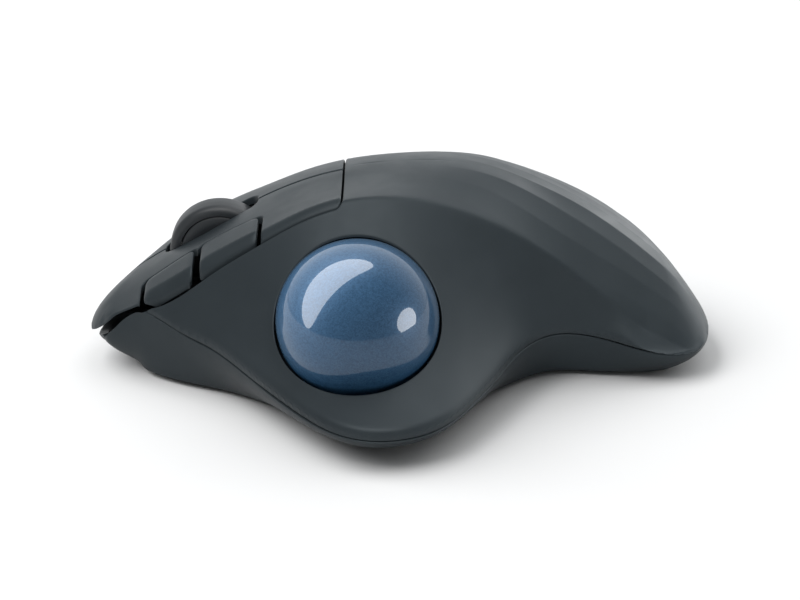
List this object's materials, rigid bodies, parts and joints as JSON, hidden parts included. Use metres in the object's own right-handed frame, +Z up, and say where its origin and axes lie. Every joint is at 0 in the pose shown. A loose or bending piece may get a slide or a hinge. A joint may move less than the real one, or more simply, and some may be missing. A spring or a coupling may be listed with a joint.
{
  "type": "trackball mouse",
  "caption": "Wireless thumb trackball mouse: a sculpted palm shell, a ball in a ringed socket, click buttons, a press-in scroll wheel and a battery bay in the base.",
  "frame": {"origin": "the point of the desk under the middle of the body's bounding box", "axes": "+X runs from the front edge to the heel of the palm, +Y from the thumb side to the finger side, and +Z up from the desk"},
  "size_m": [0.136, 0.1006, 0.0432],
  "materials": {
    "graphite": "finely textured graphite moulding",
    "base": "finely textured near-black moulding",
    "dark": "plain dark moulding",
    "rubber": "smooth dark elastomer",
    "ball": "polished pearl-blue resin",
    "steel": "plated steel",
    "ceramic": "polished white ceramic",
    "plunger": "white moulding",
    "board": "green laminate with a solder mask",
    "lens": "clear moulding",
    "cell": "printed foil sleeve"
  },
  "bodies": {
    "case": {"top_case": "graphite", "bottom_case": "base", "ball_socket": "dark", "sensor_chip": "dark", "radio_chip": "dark", "left_switch": "dark", "right_switch": "dark", "middle_switch": "dark", "forward_switch": "dark", "back_switch": "dark", "receiver_cap": "dark", "connect_switch": "dark", "foot_1": "rubber", "foot_2": "rubber", "foot_3": "rubber", "foot_4": "rubber", "foot_5": "rubber", "battery_plate": "steel", "battery_spring": "steel", "receiver_plug": "steel", "power_switch": "steel", "case_screw_1": "steel", "case_screw_2": "steel", "case_screw_3": "steel", "case_screw_4": "steel", "case_screw_5": "steel", "bearing_1": "ceramic", "bearing_2": "ceramic", "bearing_3": "ceramic", "sensor_board": "board", "main_board": "board", "side_board": "board", "sensor_lens": "lens", "battery": "cell"},
    "ball": {"ball": "ball"},
    "left_button": {"left_button": "graphite"},
    "right_button": {"right_button": "graphite"},
    "forward_button": {"forward_button": "graphite"},
    "back_button": {"back_button": "graphite"},
    "wheel_carrier": {"wheel_carrier": "dark", "encoder": "dark"},
    "wheel": {"wheel_tyre": "rubber", "wheel_hub": "dark", "wheel_axle": "steel"},
    "left_plunger": {"left_switch_plunger": "plunger"},
    "right_plunger": {"right_switch_plunger": "plunger"},
    "middle_plunger": {"middle_switch_plunger": "plunger"},
    "forward_plunger": {"forward_switch_plunger": "plunger"},
    "back_plunger": {"back_switch_plunger": "plunger"},
    "power_slider": {"power_slider": "dark"},
    "connect_button": {"connect_button": "dark"},
    "battery_door": {"battery_door": "base"}
  },
  "joints": [
    {"name": "ball_roll", "type": "hinge", "parent": "case", "child": "ball", "pos_m": [-0.009, -0.02569, 0.02191], "axis": [1, 0, 0], "continuous": true},
    {"name": "left_click", "type": "hinge", "parent": "case", "child": "left_button", "pos_m": [-0.0126, 0.00875, 0.026], "axis": [0, -1, 0], "range_deg": [0, 1], "stiffness_Nm_per_rad": 0.6, "springref_deg": -0.86},
    {"name": "right_click", "type": "hinge", "parent": "case", "child": "right_button", "pos_m": [-0.0126, 0.00875, 0.026], "axis": [0, -1, 0], "range_deg": [0, 1], "stiffness_Nm_per_rad": 0.6, "springref_deg": -0.86},
    {"name": "forward_click", "type": "slide", "parent": "case", "child": "forward_button", "axis": [0, 0, -1], "range_m": [0, 0.0005], "stiffness_N_per_m": 800, "springref_m": -0.0003},
    {"name": "back_click", "type": "slide", "parent": "case", "child": "back_button", "axis": [0, 0, -1], "range_m": [0, 0.0005], "stiffness_N_per_m": 800, "springref_m": -0.0003},
    {"name": "wheel_click", "type": "slide", "parent": "case", "child": "wheel_carrier", "axis": [0, 0, -1], "range_m": [0, 0.0006], "stiffness_N_per_m": 1200, "springref_m": -0.0004},
    {"name": "wheel_scroll", "type": "hinge", "parent": "wheel_carrier", "child": "wheel", "pos_m": [-0.0397, 0.00875, 0.0227], "axis": [0, 1, 0], "continuous": true},
    {"name": "left_plunger_slide", "type": "slide", "parent": "case", "child": "left_plunger", "axis": [0, 0, -1], "range_m": [0, 0.00066]},
    {"name": "right_plunger_slide", "type": "slide", "parent": "case", "child": "right_plunger", "axis": [0, 0, -1], "range_m": [0, 0.00044]},
    {"name": "middle_plunger_slide", "type": "slide", "parent": "case", "child": "middle_plunger", "axis": [0, 0, -1], "range_m": [0, 0.0006]},
    {"name": "forward_plunger_slide", "type": "slide", "parent": "case", "child": "forward_plunger", "axis": [0, 0, -1], "range_m": [0, 0.0005]},
    {"name": "back_plunger_slide", "type": "slide", "parent": "case", "child": "back_plunger", "axis": [0, 0, -1], "range_m": [0, 0.0005]},
    {"name": "power_slide", "type": "slide", "parent": "case", "child": "power_slider", "axis": [1, 0, 0], "range_m": [0, 0.003]},
    {"name": "connect_press", "type": "slide", "parent": "case", "child": "connect_button", "axis": [0, 0, 1], "range_m": [0, 0.0004], "stiffness_N_per_m": 500, "springref_m": -0.0003},
    {"name": "door_swing", "type": "hinge", "parent": "case", "child": "battery_door", "pos_m": [-0.01215, 0.01575, 0.0016], "axis": [0, 1, 0], "range_deg": [0, 70]}
  ],
  "couplings": [
    {"joint": "left_plunger_slide", "follows": "left_click", "m_per_rad": 0.0371},
    {"joint": "right_plunger_slide", "follows": "right_click", "m_per_rad": 0.0241},
    {"joint": "middle_plunger_slide", "follows": "wheel_click", "ratio": 1},
    {"joint": "forward_plunger_slide", "follows": "forward_click", "ratio": 1},
    {"joint": "back_plunger_slide", "follows": "back_click", "ratio": 1}
  ]
}
